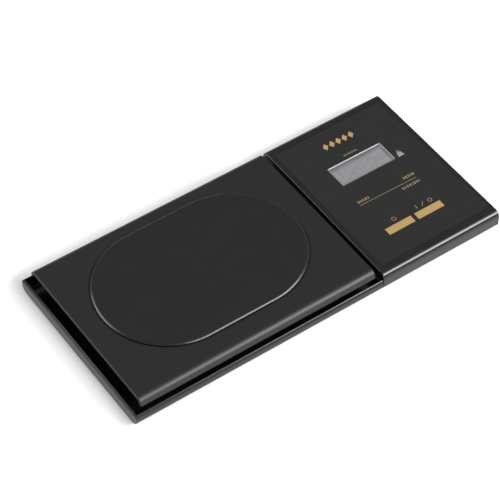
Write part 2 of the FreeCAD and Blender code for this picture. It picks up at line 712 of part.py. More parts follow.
def cylinder(name, radius, height, x, y, z):
    made = doc.addObject("Part::Cylinder", name)
    made.setExpression("Radius", full(radius))
    made.setExpression("Height", full(height))
    return place(made, x, y, z)


def slab(name, length, width, height, x, y, z):
    """A box with its low corner at x, y and z."""
    made = doc.addObject("Part::Box", name)
    for side, text in (("Length", length), ("Width", width), ("Height", height)):
        made.setExpression(side, full(text))
    return place(made, x, y, z)


def countersunk(name, shank, head, reach, x, y, z, up=True):
    """A 90 degree countersunk screw with a cross recess.

    Its head's face is at z, and its shank runs up or down.
    """
    head_deep = f"({head} - {shank})"
    cone = doc.addObject("Part::Cone", name + "_head")
    wide, narrow = (head, shank) if up else (shank, head)
    cone.setExpression("Radius1", full(wide))
    cone.setExpression("Radius2", full(narrow))
    cone.setExpression("Height", full(head_deep))
    place(cone, x, y, z if up else f"{z} - {head_deep}")
    rod = cylinder(name + "_shank", shank, reach, x, y, z if up else f"{z} - ({reach})")
    whole = doc.addObject("Part::Fuse", name + "_solid")
    whole.Base = cone
    whole.Tool = rod
    long_way, short_way, deep = (f"{share} * {head}" for share in RECESS)
    z_low = z if up else f"{z} - {deep}"
    slots = []
    for index, (length, width) in enumerate(((long_way, short_way), (short_way, long_way))):
        corner = (f"{x} - {length} / 2", f"{y} - {width} / 2", z_low)
        slots.append(slab(f"{name}_slot_{index}", length, width, deep, *corner))
    cross = doc.addObject("Part::Fuse", name + "_cross")
    cross.Base, cross.Tool = slots
    made = doc.addObject("Part::Cut", name)
    made.Base = whole
    made.Tool = cross
    return made


def screws(label, places, *sizes, z, up=True):
    made = [countersunk(f"{label}_{n}", *sizes, x, y, z, up) for n, (x, y) in enumerate(places)]
    return group(label, made)


def board_screws():
    """Pan head screws from below the circuit board."""
    members = []
    for n, (x, y) in enumerate(BOARD_SCREWS):
        deep = "board_screw_head_deep"
        head = cylinder(f"board_head_{n}", "board_screw_head", deep, x, y, f"board_low - {deep}")
        rod = cylinder(f"board_shank_{n}", "board_screw_radius", "2.2 * board_thick", x, y, "board_low")
        made = doc.addObject("Part::Fuse", f"board_screw_{n}")
        made.Base = head
        made.Tool = rod
        members.append(made)
    return group("board_screws", members)


def battery_parts():
    coin = Piece("coin_cell", x="coin_mid_x", y="coin_mid_y", z="coin_low")
    coin.pad("0", "coin_thick - coin_lid", disc("0", "0", "coin_radius"))
    coin.soften("coin_edge", lambda e: isinstance(e.Curve, Part.Circle))
    coin.pad("coin_thick - coin_lid", "coin_lid", disc("0", "0", "coin_radius - coin_lid_inset"))
    holder = Piece("battery_holder", x="coin_mid_x", y="coin_mid_y")
    bridge_low = "coin_top + contact_thick"
    outer = ("-holder_half", "holder_half")
    holder.pad("rail_top", f"{bridge_low} - rail_top", box(*outer, *outer))
    holder.cut("rail_top", f"{bridge_low} - rail_top", disc("0", "0", "pocket_radius"))
    holder.pad(bridge_low, "bridge_thick", box(*outer, "-holder_half", "bridge_width - holder_half"))
    # The positive contact stands in a notch beside the coin.
    notch = "-pocket_radius - pocket_wall / 2"
    bay = "(positive_width / 2 + contact_bay)"
    holder.cut("rail_top", "coin_top - rail_top", box(notch, "-coin_radius", f"-{bay}", bay))
    positive = Piece("battery_positive_contact", x="coin_mid_x", y="coin_mid_y", z="coin_low")
    strip = (f"{notch} + contact_fit", "-coin_radius - contact_fit")
    positive.pad("positive_rise", "positive_height", box(*strip, "-positive_width / 2", "positive_width / 2"))
    negative = Piece("battery_negative_contact", x="coin_mid_x", y="coin_mid_y", z="coin_top")
    negative.pad("0", "contact_thick", block("0", "0", "negative_length", "negative_width"))
    negative.soften("negative_corner", lambda e: along(e, 2))
    return holder


def battery_cover():
    cover = Piece("battery_cover", y="coin_mid_y")
    cover.pad("tray_low", "cover_thick", box("cover_left", "right_end", "-cover_half", "cover_half"))
    wide = "(cover_half + tongue_wide)"
    cover.pad("tongue_low", "tongue_thick", box("cover_left", "right_end - 2 * case_wall", f"-{wide}", wide))
    grooves = [
        block(f"right_end - grip_inset - {n + 1} * grip_pitch", "0", "grip_pitch / 2", "cover_half")
        for n in range(GRIP_COUNT)
    ]
    cover.cut("tray_low", "grip_deep", *grooves)
    return cover


def load_cell():
    beam = Piece("load_cell", x="plate_mid", z="cell_low")
    half = "cell_length / 2"
    beam.pad("0", "cell_deep", box(f"-{half}", half, "-cell_width / 2", "cell_width / 2"))
    across = ("-cell_width / 2 - spare", "cell_width + 2 * spare")
    bores = [disc(f"{sign}cell_web / 2", "cell_deep / 2", "cell_bore") for sign in ("-", "")]
    beam.cut(*across, *bores, role="XZ_Plane")
    slot = box("-cell_web / 2", "cell_web / 2", "cell_deep / 2 - cell_slot", "cell_deep / 2 + cell_slot")
    beam.cut(*across, slot, role="XZ_Plane")
    shift = "(cell_length - cell_end) / 2"
    holes = [(f"{end}{shift}", f"{side}cell_screw_pitch / 2") for end in ("", "-") for side in ("", "-")]
    beam.cut("0", "cell_deep", *[disc(x, y, "cell_screw_radius + screw_fit") for x, y in holes])
    gauges = []
    for level, z in enumerate(("cell_low - gauge_thick", "cell_top")):
        for end, sign in enumerate(("-", "+")):
            corner = (f"plate_mid {sign} cell_web / 2 - gauge_length / 2", "-gauge_width / 2", z)
            size = ("gauge_length", "gauge_width", "gauge_thick")
            gauges.append(slab(f"gauge_{level}_{end}", *size, *corner))
    group("strain_gauges", gauges)
    return beam


def rounded_path(points, radius):
    """Straight runs joined by tangent arcs of one radius."""
    edges = []
    start = points[0]
    for corner, following in zip(points[1:-1], points[2:]):
        before = (corner - start).normalize()
        after = (following - corner).normalize()
        turn = before.getAngle(after)
        back = radius * math.tan(turn / 2)
        first, last = corner - before * back, corner + after * back
        inward = (after - before).normalize()
        centre = corner + inward * (radius / math.cos(turn / 2))
        crest = centre + (corner - centre).normalize() * radius
        edges.append(Part.LineSegment(start, first).toShape())
        edges.append(Part.Arc(first, crest, last).toShape())
        start = last
    edges.append(Part.LineSegment(start, points[-1]).toShape())
    return Part.Wire(edges)


def load_cell_leads():
    """Four insulated leads from the load cell's fixed end, along the tray floor, up to the circuit board."""
    radius, bend, run = value("lead_radius"), value("lead_bend"), value("lead_run")
    right, low = value("cell_right"), value("floor_top + lead_radius + lead_rest")
    high, board = value("(cell_low + cell_top) / 2"), value("board_low")
    rise_x = value("housing_left + housing_wall + 3 * board_gap")
    tubes = []
    for index in range(LEAD_COUNT):
        y = (index - (LEAD_COUNT - 1) / 2) * value("lead_pitch")
        route = [(right, high), (right + run, high), (right + 2 * run, low), (rise_x, low), (rise_x, board)]
        path = rounded_path([FreeCAD.Vector(x, y, z) for x, z in route], bend)
        ring = Part.Wire(Part.makeCircle(radius, FreeCAD.Vector(right, y, high), FreeCAD.Vector(1, 0, 0)))
        tubes.append(path.makePipeShell([ring], True, False))
        print(f"lead {index}: length {path.Length:.2f}, bend radius {bend:.2f}")
    made = doc.addObject("Part::Feature", "load_cell_leads")
    made.Label = "load_cell_leads"
    made.Shape = Part.Compound(tubes)
    made.Placement = FreeCAD.Placement()
    pieces.append(made)
    return made


def platform_carrier():
    carrier = Piece("platform_carrier", x="plate_mid")
    half_x, half_y = "carrier_length / 2", "carrier_width / 2"
    carrier.pad("carrier_low", "carrier_thick", box(f"-{half_x}", half_x, f"-{half_y}", half_y))
    carrier.soften("carrier_frame / 2", lambda e: along(e, 2))
    window_x = ("carrier_frame / 2", f"{half_x} - carrier_frame")
    window_y = ("carrier_spine / 2", f"{half_y} - carrier_frame")
    for sign_x in (1, -1):
        for sign_y in (1, -1):
            x_span = [f"{sign_x} * ({text})" for text in window_x[::sign_x]]
            y_span = [f"{sign_y} * ({text})" for text in window_y[::sign_y]]
            carrier.cut("carrier_low", "carrier_thick", box(*x_span, *y_span))
    free = "free_x - plate_mid"
    carrier.pad("cell_top", "carrier_low - cell_top", block(free, "0", "cell_end", "cell_width"))
    pegs = [(f"{sx}({half_x} - peg_inset)", f"{sy}({half_y} - peg_inset)") for sx in SIDES for sy in SIDES]
    carrier.cut("carrier_low", "carrier_thick", *[disc(x, y, "peg_radius + peg_fit") for x, y in pegs])
    hole = "cell_screw_radius + screw_fit"
    holes = [disc(free, f"{side}cell_screw_pitch / 2", hole) for side in SIDES]
    carrier.cut("cell_top - spare", "carrier_top - cell_top + 2 * spare", *holes)
    carrier.soften("cell_screw_head - cell_screw_radius", hole_rim("carrier_top", hole), kind="Chamfer")
    cushions = []
    for n, (x, y) in enumerate(pegs):
        toward = "-" if x.startswith("(") else "+"
        spot = f"plate_mid + {x} {toward} cushion_step"
        cushions.append(cylinder(f"cushion_{n}", "cushion_radius", "cushion_thick", spot, y, "carrier_top"))
    group("platform_cushions", cushions)
    return carrier, pegs


def weighing_plate(pegs):
    plate = Piece("weighing_platform", x="plate_mid")
    half_x = "(plate_right - plate_left) / 2"
    inner = "plate_half - plate_thick"
    outer = box(f"-{half_x}", half_x, "-plate_half", "plate_half")
    plate.pad("plate_top - skirt_depth", "skirt_depth", outer)
    plate.soften("plate_radius", side_edge("plate_top", "plate_half"))
    past = f"{half_x} + spare"
    plate.cut(
        "plate_top - skirt_depth",
        "skirt_depth - plate_thick",
        box(f"-({past})", past, f"-({inner})", inner),
    )
    plate.soften("plate_radius - plate_thick", side_edge("plate_low", inner))
    end, top = value(half_x), value("plate_top")
    plate.soften("plate_end_round", lambda e: near(abs(middle(e).x), end) and near(middle(e).z, top))
    ring = ("0", "oval_shift", "oval_straight")
    plate.pad("plate_top - plate_thick / 2", "oval_rise + plate_thick / 2", oval(*ring, "oval_radius"))
    crown = value("plate_top + oval_rise")
    plate.soften("oval_round", lambda e: near(middle(e).z, crown))
    dish = oval(*ring, "oval_radius - dish_margin")
    plate.cut("plate_top + oval_rise - dish_deep", "dish_deep", dish, taper="dish_slope")
    plate.pad("plate_low - peg_reach", "peg_reach", *[disc(x, y, "peg_radius") for x, y in pegs])
    return plate


def rubber_feet():
    x, y = "(body_length / 2 - foot_inset_x)", "(half_width - foot_inset_y)"
    spots = [(sx + x, sy + y) for sx in SIDES for sy in SIDES]
    size = ("foot_radius", "foot_height")
    members = [cylinder(f"foot_{n}", *size, *spot, "0") for n, spot in enumerate(spots)]
    return group("rubber_feet", members)


def overload_stops():
    size = ("stop_radius", "stop_top - floor_top")
    members = [cylinder(f"stop_{n}", *size, *spot, "floor_top") for n, spot in enumerate(STOPS)]
    return group("overload_stops", members)


PIN_COUNT = 7
RESISTOR_COUNT = 6
GRIP_COUNT = 5
LEAD_COUNT = 4
# A screw's cross recess: length, width and depth as shares of the head's radius.
RECESS = (1.3, 0.3, 0.27)
SIDES = ("-", "")
POSTS = [
    (f"housing_left + post_inset_x + {n} * post_step_x", f"{side}post_y") for n in range(2) for side in SIDES
]
BOARD_SCREWS = [("housing_left + board_screw_x", f"{side}board_screw_y") for side in SIDES]
STOPS = [
    (f"plate_mid {sign} (carrier_length / 2 - stop_inset)", f"{side}(carrier_width / 2 - carrier_frame / 2)")
    for sign in ("+", "-")
    for side in SIDES
]
FIXED_SCREWS = [("fixed_x", f"{side}cell_screw_pitch / 2") for side in SIDES]
FREE_SCREWS = [("free_x", f"{side}cell_screw_pitch / 2") for side in SIDES]
WINDOW = ("window_length", "window_width")
KEYS = {"off_key": "panel_x - key_pitch / 2", "on_tare_key": "panel_x + key_pitch / 2"}

base_tray()
display_housing()
front_panel()
for label, x in KEYS.items():
    key(label, x)
display_stack()
circuit_board()
small_components()
battery_parts()
battery_cover()
load_cell()
load_cell_leads()
carrier, PEGS = platform_carrier()
weighing_plate(PEGS)
rubber_feet()
overload_stops()
board_screws()
screws("housing_screws", POSTS, "screw_radius", "screw_head", "screw_reach", z="tray_low")
CELL_SCREW = ("cell_screw_radius", "cell_screw_head")
CELL_REACH = "floor_thick + cell_boss + cell_screw_bite"
screws("load_cell_screws", FIXED_SCREWS, *CELL_SCREW, CELL_REACH, z="tray_low")
CARRIER_REACH = "carrier_top - cell_top + cell_screw_bite"
screws("carrier_screws", FREE_SCREWS, *CELL_SCREW, CARRIER_REACH, z="carrier_top", up=False)

doc.recompute()
for made in doc.Objects:
    if "Invalid" in made.State or "Error" in made.State:
        raise RuntimeError(f"{made.Label} failed: {made.State}")
for made in pieces:
    if made.Shape.isNull() or not made.Shape.isValid() or not made.Shape.Solids:
        raise RuntimeError(f"{made.Label} has no valid shape")
    made.Shape.exportStep(os.path.join(OUT, made.Label + ".step"))
    print(f"{made.Label}: {len(made.Shape.Solids)} solid(s), {made.Shape.Volume:.1f} mm3")
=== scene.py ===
"""Looks of the slim digital gram scale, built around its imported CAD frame. Metres, in the CAD frame."""

import math

import bmesh
import bpy
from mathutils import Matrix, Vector


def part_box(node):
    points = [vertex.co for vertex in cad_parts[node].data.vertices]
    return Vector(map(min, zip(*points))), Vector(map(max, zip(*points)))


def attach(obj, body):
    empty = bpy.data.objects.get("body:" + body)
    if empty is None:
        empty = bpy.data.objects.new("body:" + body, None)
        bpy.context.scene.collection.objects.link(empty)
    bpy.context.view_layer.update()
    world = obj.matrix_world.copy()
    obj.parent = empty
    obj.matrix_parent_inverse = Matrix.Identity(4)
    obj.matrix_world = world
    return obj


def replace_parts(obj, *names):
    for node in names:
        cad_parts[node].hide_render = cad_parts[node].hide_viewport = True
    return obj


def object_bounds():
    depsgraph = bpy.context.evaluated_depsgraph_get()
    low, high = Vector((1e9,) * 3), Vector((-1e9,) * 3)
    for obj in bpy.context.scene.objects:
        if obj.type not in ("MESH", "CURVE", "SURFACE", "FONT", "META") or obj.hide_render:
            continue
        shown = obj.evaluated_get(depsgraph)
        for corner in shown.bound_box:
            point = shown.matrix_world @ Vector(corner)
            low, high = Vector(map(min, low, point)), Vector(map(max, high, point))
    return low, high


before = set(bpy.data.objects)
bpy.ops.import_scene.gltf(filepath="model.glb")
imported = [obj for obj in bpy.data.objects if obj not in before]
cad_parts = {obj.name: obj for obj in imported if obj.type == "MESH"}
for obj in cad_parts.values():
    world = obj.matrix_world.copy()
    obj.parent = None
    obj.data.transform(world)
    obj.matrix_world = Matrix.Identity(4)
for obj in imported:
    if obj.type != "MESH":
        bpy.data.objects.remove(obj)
CAD_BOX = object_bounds()
MM = 0.001

# The camera: degrees round from the near side and up, metres from the point it looks at, and its
# lens and sensor in millimetres.
AZIMUTH = -34.98
ELEVATION = 49.11
DISTANCE = 0.7519
AIM = (-0.00257, 0.00431, 0.0025)
LENS = 157.43
SENSOR = 36.0

FLOOR_SIZE = 4.0

# Bevel on the edges that the CAD leaves sharp. Vertices nearer than WELD are one, and after a
# bevel those nearer than SLIVER. Angles are in degrees: the largest between faces of one flat
# side, and the smallest at an edge that stays sharp, in a new piece and in a bevelled one.
FINE_EDGE = 0.08 * MM
WELD = 0.002 * MM
SLIVER = 0.0004 * MM
FLAT_ANGLE = 0.5
SHARP_ANGLE = 35
BEVELLED_SHARP_ANGLE = 28

# The ink on the panel, the tray's rim and the raised oval with the groove round it. The plate's
# flat top is found further from its middle than BESIDE_OVAL.
PRINT_THICK = 0.012 * MM
RIM_WALL = 0.9 * MM
BESIDE_OVAL = 30.5 * MM
GROOVE_WIDE = 0.22 * MM
GROOVE_DEEP = 0.3 * MM

# Where most of a noise texture's values lie.
NOISE_LOW, NOISE_HIGH = 0.3, 0.7


# --- materials -------------------------------------------------------------------------------


class Shader:
    """A Principled material with object-space noise to drive its inputs."""

    def __init__(self, name, **values):
        self.material = bpy.data.materials.new(name)
        self.material.use_nodes = True
        self.nodes = self.material.node_tree.nodes
        self.links = self.material.node_tree.links
        self.main = self.nodes["Principled BSDF"]
        self.place = self.nodes.new("ShaderNodeTexCoord").outputs["Object"]
        self.height = None
        for key, amount in values.items():
            self.main.inputs[key.replace("_", " ")].default_value = amount

    def stretched(self, scale):
        """Object coordinates scaled by a different amount along each axis."""
        node = self.nodes.new("ShaderNodeMapping")
        node.inputs["Scale"].default_value = scale
        self.links.new(self.place, node.inputs["Vector"])
        return node.outputs["Vector"]

    def noise(self, size, detail=2.0, place=None):
        """Noise whose grains are about size metres across."""
        node = self.nodes.new("ShaderNodeTexNoise")
        node.inputs["Scale"].default_value = 1.0 / size
        node.inputs["Detail"].default_value = detail
        self.links.new(place or self.place, node.inputs["Vector"])
        return node.outputs["Fac"]

    def spread(self, value, low, high, start=NOISE_LOW, stop=NOISE_HIGH):
        """A value between start and stop mapped to low and high."""
        node = self.nodes.new("ShaderNodeMapRange")
        node.inputs["From Min"].default_value = start
        node.inputs["From Max"].default_value = stop
        node.inputs["To Min"].default_value = low
        node.inputs["To Max"].default_value = high
        self.links.new(value, node.inputs["Value"])
        return node.outputs["Result"]

    def tint(self, value, low, high):
        """The base colour between two colours."""
        ramp = self.nodes.new("ShaderNodeValToRGB")
        for stop, at, colour in zip(ramp.color_ramp.elements, (NOISE_LOW, NOISE_HIGH), (low, high)):
            stop.position = at
            stop.color = (*colour, 1.0)
        self.links.new(value, ramp.inputs["Fac"])
        self.links.new(ramp.outputs["Color"], self.main.inputs["Base Color"])

    def rough(self, value, low, high):
        """The roughness between two amounts."""
        self.links.new(self.spread(value, low, high), self.main.inputs["Roughness"])

    def bump(self, value, depth):
        """Relief of about depth metres, on top of any relief already there."""
        node = self.nodes.new("ShaderNodeBump")
        node.inputs["Distance"].default_value = depth
        self.links.new(value, node.inputs["Height"])
        if self.height is not None:
            self.links.new(self.height, node.inputs["Normal"])
        self.height = node.outputs["Normal"]
        self.links.new(self.height, self.main.inputs["Normal"])


def grey(level, warm=0.0):
    """A grey with more red and less blue by the share warm."""
    return (level * (1 + warm), level, level * (1 - warm))


def moulded(name, level, rough, grain, relief, warm=0.0, **values):
    """Moulded plastic: grain of a size and relief in metres, slow changes of sheen and colour."""
    made = Shader(name, **values)
    cloud = made.noise(9 * MM, 3)
    made.tint(cloud, grey(level * 0.92, warm), grey(level * 1.08, warm))
    fine = made.noise(grain, 2)
    made.rough(made.noise(4 * MM, 4), rough * 0.97, rough * 1.03)
    made.bump(fine, relief)
    return made.material


def metal(name, colour, rough, across=(1, 12, 1), relief=0.0006 * MM):
    """Metal with fine marks drawn along one axis."""
    made = Shader(name, Metallic=1.0)
    lines = made.noise(1.4 * MM, 4, made.stretched(across))
    made.tint(lines, [0.86 * c for c in colour], colour)
    made.rough(lines, rough * 0.8, rough * 1.25)
    made.bump(lines, relief)
    return made.material


def printed(name, low, high, rough):
    """Metallic ink with a fine speckle."""
    made = Shader(name, Metallic=0.1)
    speckle = made.noise(0.12 * MM, 2)
    made.tint(speckle, low, high)
    made.rough(speckle, rough * 0.9, rough * 1.1)
    made.bump(speckle, 0.001 * MM)
    return made.material


# Moulded: grey level, roughness, grain and relief. Printed: two colours and roughness. Metal: colour,
# roughness and the stretch of its marks.
MATERIALS = {
    "tray": moulded("tray_plastic", 0.004, 0.17, 0.10 * MM, 0.0005 * MM, Specular_IOR_Level=0.40),
    "housing": moulded("housing_plastic", 0.005, 0.22, 0.12 * MM, 0.0004 * MM, warm=0.01),
    "film": moulded("panel_film", 0.0095, 0.26, 0.06 * MM, 0.0004 * MM, warm=0.03),
    "plate": moulded("plate_plastic", 0.004, 0.46, 0.08 * MM, 0.0008 * MM),
    "pad": moulded("pad_plastic", 0.006, 0.27, 0.08 * MM, 0.0001 * MM),
    "cover": moulded("cover_plastic", 0.018, 0.45, 0.14 * MM, 0.004 * MM),
    "rubber": moulded("foot_rubber", 0.012, 0.75, 0.10 * MM, 0.006 * MM),
    "holder": moulded("holder_plastic", 0.04, 0.5, 0.15 * MM, 0.002 * MM),
    "chip": moulded("chip_epoxy", 0.012, 0.55, 0.05 * MM, 0.003 * MM),
    "gold": printed("gold_print", (0.30, 0.20, 0.076), (0.35, 0.233, 0.090), 0.42),
    "small_gold": printed("small_gold_print", (0.16, 0.115, 0.07), (0.21, 0.15, 0.09), 0.5),
    "pale": printed("pale_print", (0.19, 0.185, 0.19), (0.23, 0.225, 0.23), 0.5),
    "steel": metal("steel", (0.55, 0.55, 0.56), 0.32),
    "aluminium": metal("aluminium", (0.72, 0.72, 0.74), 0.38, (1, 9, 9)),
    "nickel": metal("nickel", (0.66, 0.64, 0.60), 0.22, (1, 1, 1)),
}


def board_material():
    """Green solder mask over fine raised tracks."""
    made = Shader("solder_mask", Coat_Weight=0.3, Coat_Roughness=0.2)
    tracks = made.noise(1.1 * MM, 0, made.stretched((1, 3, 1)))
    made.tint(tracks, (0.008, 0.075, 0.03), (0.014, 0.12, 0.045))
    made.rough(tracks, 0.35, 0.45)
    made.bump(tracks, 0.03 * MM)
    return made.material


def rubbery(name, low, high):
    """Soft coloured insulation or coating."""
    made = Shader(name)
    made.tint(made.noise(1.5 * MM, 2), low, high)
    made.rough(made.noise(0.5 * MM, 2), 0.45, 0.6)
    made.bump(made.noise(0.3 * MM, 2), 0.004 * MM)
    return made.material


def display_material():
    """The grey reflector behind the liquid crystal, a little streaked, with painted shade in bands along
    its far side and right end.
    """
    made = Shader("display_glass", Coat_Weight=0.6, Coat_Roughness=0.12)
    cloud = made.noise(5 * MM, 3, made.stretched((1, 1.6, 1)))
    across = made.nodes.new("ShaderNodeSeparateXYZ")
    made.links.new(made.place, across.inputs["Vector"])
    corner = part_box("lcd_window")[1]
    # Painted shade: the grey darkens in bands along the window's far side and right end, where the walls
    # of the opening would shade the display.
    far_shade_band, right_shade_band = (2.6 * MM, 0.4 * MM), (1.8 * MM, 0.3 * MM)
    far = made.spread(across.outputs["Y"], 1.0, 0.0, *(corner.y - inset for inset in far_shade_band))
    right = made.spread(across.outputs["X"], 1.0, 0.0, *(corner.x - inset for inset in right_shade_band))
    shade = made.nodes.new("ShaderNodeMath")
    shade.operation = "MINIMUM"
    made.links.new(far, shade.inputs[0])
    made.links.new(right, shade.inputs[1])
    # The grey level: streaks from the cloud added on top of the painted shade.
    light = made.nodes.new("ShaderNodeMath")
    light.operation = "MULTIPLY_ADD"
    streaks = 0.22
    light.inputs[1].default_value = streaks
    made.links.new(cloud, light.inputs[0])
    made.links.new(made.spread(shade.outputs[0], 0.2, 0.5, 0.0, 1.0), light.inputs[2])
    made.tint(light.outputs[0], (0.10, 0.102, 0.11), (0.34, 0.342, 0.36))
    made.rough(cloud, 0.4, 0.5)
    made.bump(made.noise(0.08 * MM, 2), 0.001 * MM)
    return made.material


def window_material():
    """Clear film: mostly seen through, with its own reflection."""
    made = Shader("window_film", Alpha=0.14)
    made.tint(made.noise(3 * MM, 2), (0.06, 0.06, 0.065), (0.08, 0.08, 0.085))
    made.rough(made.noise(2 * MM, 3), 0.10, 0.16)
    made.bump(made.noise(0.8 * MM, 2), 0.0008 * MM)
    return made.material


MATERIALS["board"] = board_material()
MATERIALS["display"] = display_material()
MATERIALS["window"] = window_material()
MATERIALS["leads"] = rubbery("lead_insulation", (0.010, 0.010, 0.011), (0.016, 0.016, 0.017))
MATERIALS["white"] = rubbery("gauge_coating", (0.62, 0.62, 0.6), (0.72, 0.72, 0.7))
MATERIALS["pink"] = rubbery("connector_rubber", (0.4, 0.2, 0.24), (0.5, 0.28, 0.3))
MATERIALS["lip"] = moulded("window_lip_plastic", 0.16, 0.3, 0.1 * MM, 0.0006 * MM)
MATERIALS["segment"] = rubbery("segment_ink", (0.245, 0.246, 0.257), (0.265, 0.266, 0.277))


# --- meshes ----------------------------------------------------------------------------------


def put(name, mesh, material, body, smooth=SHARP_ANGLE):
    """Makes a piece of a bmesh, smooth except at its sharp edges, riding on a CAD body."""
    data = bpy.data.meshes.new(name)
    mesh.to_mesh(data)
    mesh.free()
    for face in data.polygons:
        face.use_smooth = True
    data.set_sharp_from_angle(angle=math.radians(smooth))
    piece = bpy.data.objects.new(name, data)
    bpy.context.scene.collection.objects.link(piece)
    data.materials.append(MATERIALS[material])
    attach(piece, body)
    return piece


def bridge(mesh, one, two):
    """Quads between two rings with the same number of vertices."""
    for k in range(len(one)):
        after = (k + 1) % len(one)
        mesh.faces.new((one[k], one[after], two[after], two[k]))


def whole_faces(node):
    """A CAD node's shape as one welded mesh with its flat faces whole."""
    mesh = bmesh.new()
    mesh.from_mesh(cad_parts[node].data)
    bmesh.ops.remove_doubles(mesh, verts=mesh.verts, dist=WELD)
    bmesh.ops.dissolve_limit(mesh, angle_limit=math.radians(FLAT_ANGLE), verts=mesh.verts,
                              edges=mesh.edges)
    return mesh


def finer(node, name, material, body, width, change=None, shortest=1.0 * MM):
    """The node's shape with its longer sharp outer edges rounded, standing for the node."""
    mesh = whole_faces(node)
    if change:
        change(mesh)
    chosen = []
    for edge in mesh.edges:
        if len(edge.link_faces) != 2 or edge.calc_length() < shortest:
            continue
        if edge.is_convex and edge.calc_face_angle() > math.radians(SHARP_ANGLE):
            chosen.append(edge)
    bmesh.ops.bevel(
        mesh, geom=chosen, offset=width, offset_type="OFFSET", segments=3, profile=0.5,
        affect="EDGES", clamp_overlap=False, miter_outer="SHARP",
    )
    bmesh.ops.remove_doubles(mesh, verts=mesh.verts, dist=SLIVER)
    piece = put(name, mesh, material, body, smooth=BEVELLED_SHARP_ANGLE)
    piece.modifiers.new("flat faces", "WEIGHTED_NORMAL").keep_sharp = True
    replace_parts(piece, node)
    return piece


def pad_profile():
    """The raised oval's profile: millimetres in from its outline, and above the plate."""
    steepest, radius, wall, steps = math.radians(56), 1.5, 0.32, 8
    points = [(0.0, wall)]
    for step in range(1, steps + 1):
        slope = steepest * (1 - step / steps)
        inset = radius * (math.sin(steepest) - math.sin(slope))
        points.append((inset, wall + radius * (math.cos(slope) - math.cos(steepest))))
    dish = [(1.5, 0.98), (2.4, 0.94), (3.8, 0.80), (5.5, 0.69), (8.0, 0.62), (13.0, 0.58), (20.0, 0.58),
            (26.0, 0.58)]
    return points + dish


def open_ring(mesh):
    """The vertices round a mesh's one hole, in order."""
    edge = next(e for e in mesh.edges if e.is_boundary)
    ring = [edge.verts[0]]
    while True:
        after = edge.other_vert(ring[-1])
        if after is ring[0]:
            return ring
        ring.append(after)
        edge = next(e for e in after.link_edges if e.is_boundary and e is not edge)


def loft_pad(mesh):
    """Takes the raised oval off the plate and makes it a piece with a finer profile, in a fine groove."""
    plate_top = max(v.co.z for v in mesh.verts if abs(v.co.y) > BESIDE_OVAL)
    raised = [f for f in mesh.faces if min(v.co.z for v in f.verts) > plate_top - WELD
              and max(v.co.z for v in f.verts) > plate_top + WELD]
    bmesh.ops.delete(mesh, geom=raised, context="FACES")
    ring = open_ring(mesh)
    low = Vector([min(v.co[k] for v in ring) for k in (0, 1)])
    high = Vector([max(v.co[k] for v in ring) for k in (0, 1)])
    centre, radius = (low + high) / 2, (high.y - low.y) / 2
    straight = (high.x - low.x) / 2 - radius
    sunk = [mesh.verts.new((v.co.x, v.co.y, plate_top - GROOVE_DEEP)) for v in ring]
    bridge(mesh, ring, sunk)
    mesh.faces.new(sunk)
    bmesh.ops.recalc_face_normals(mesh, faces=mesh.faces)

    pad = bmesh.new()
    rings = []
    for inset, rise in [(0.0, -GROOVE_DEEP / MM)] + pad_profile():
        rings.append([])
        for vert in ring:
            flat = vert.co.xy
            spine = Vector((max(-straight, min(straight, flat.x - centre.x)) + centre.x, centre.y))
            spot = spine + (flat - spine) * (1 - (inset * MM + GROOVE_WIDE) / radius)
            rings[-1].append(pad.verts.new((spot.x, spot.y, plate_top + rise * MM)))
    for one, two in zip(rings, rings[1:]):
        bridge(pad, one, two)
    pad.faces.new(rings[0])
    pad.faces.new(rings[-1])
    bmesh.ops.recalc_face_normals(pad, faces=pad.faces)
    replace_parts(put("weighing_pad", pad, "pad", "plate"), "weighing_platform")


def slope_rim(mesh):
    """Turns the rim's outer rounding into a wider curve that starts at its inner edge."""
    low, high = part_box("base_tray")
    slope = math.radians(25)
    radius = RIM_WALL / (1 - math.sin(slope))
    base = high.z - radius * math.cos(slope)
    bay_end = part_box("display_housing")[0].x
    shares, insets = (0.0, 0.17, 0.34), (0.30 * MM, 0.42 * MM, 0.55 * MM)
    cuts = [((0, 0, base + share * (high.z - base)), (0, 0, 1)) for share in shares]
    for inset in insets:
        cuts += [((0, low.y + inset, 0), (0, 1, 0)), ((0, high.y - inset, 0), (0, 1, 0)),
                 ((low.x + inset, 0, 0), (1, 0, 0))]
    for spot, normal in cuts:
        bmesh.ops.bisect_plane(mesh, geom=mesh.verts[:] + mesh.edges[:] + mesh.faces[:], dist=WELD,
                               plane_co=spot, plane_no=normal)
    for vert in mesh.verts:
        place = vert.co
        inset = min(place.x - low.x, high.y - abs(place.y))
        if place.z < base or place.x > bay_end or inset > RIM_WALL:
            continue
        if inset < WELD:
            shift = radius - math.sqrt(radius ** 2 - (place.z - base) ** 2)
            if place.x - low.x < WELD:
                place.x += shift
            if high.y - abs(place.y) < WELD:
                place.y -= math.copysign(shift, place.y)
        else:
            place.z = min(place.z, base + math.sqrt(radius ** 2 - (radius - inset) ** 2))


finer("base_tray", "tray_shell", "tray", "root", FINE_EDGE, slope_rim)
finer("display_housing", "housing_shell", "housing", "root", FINE_EDGE)
finer("weighing_platform", "weighing_plate", "plate", "plate", FINE_EDGE, loft_pad)

# --- prints on the panel and segments on the display ------------------------------------------

PANEL_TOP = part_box("front_panel_overlay")[1].z
WINDOW_LOW, WINDOW_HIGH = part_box("lcd_window")
WINDOW_MID = (WINDOW_LOW + WINDOW_HIGH) / 2


def bar(x0, y0, x1, y1, width):
    """Outline of a straight stroke between two points."""
    run = Vector((x1 - x0, y1 - y0))
    side = Vector((-run.y, run.x)).normalized() * width / 2
    return [(x0 + side.x, y0 + side.y), (x0 - side.x, y0 - side.y),
            (x1 - side.x, y1 - side.y), (x1 + side.x, y1 + side.y)]


def lozenge(x, y, width, height, lean=0.0):
    """Outline of a diamond, its top and bottom corners leaning along x."""
    return [(x - width / 2, y), (x - lean, y - height / 2), (x + width / 2, y), (x + lean, y + height / 2)]


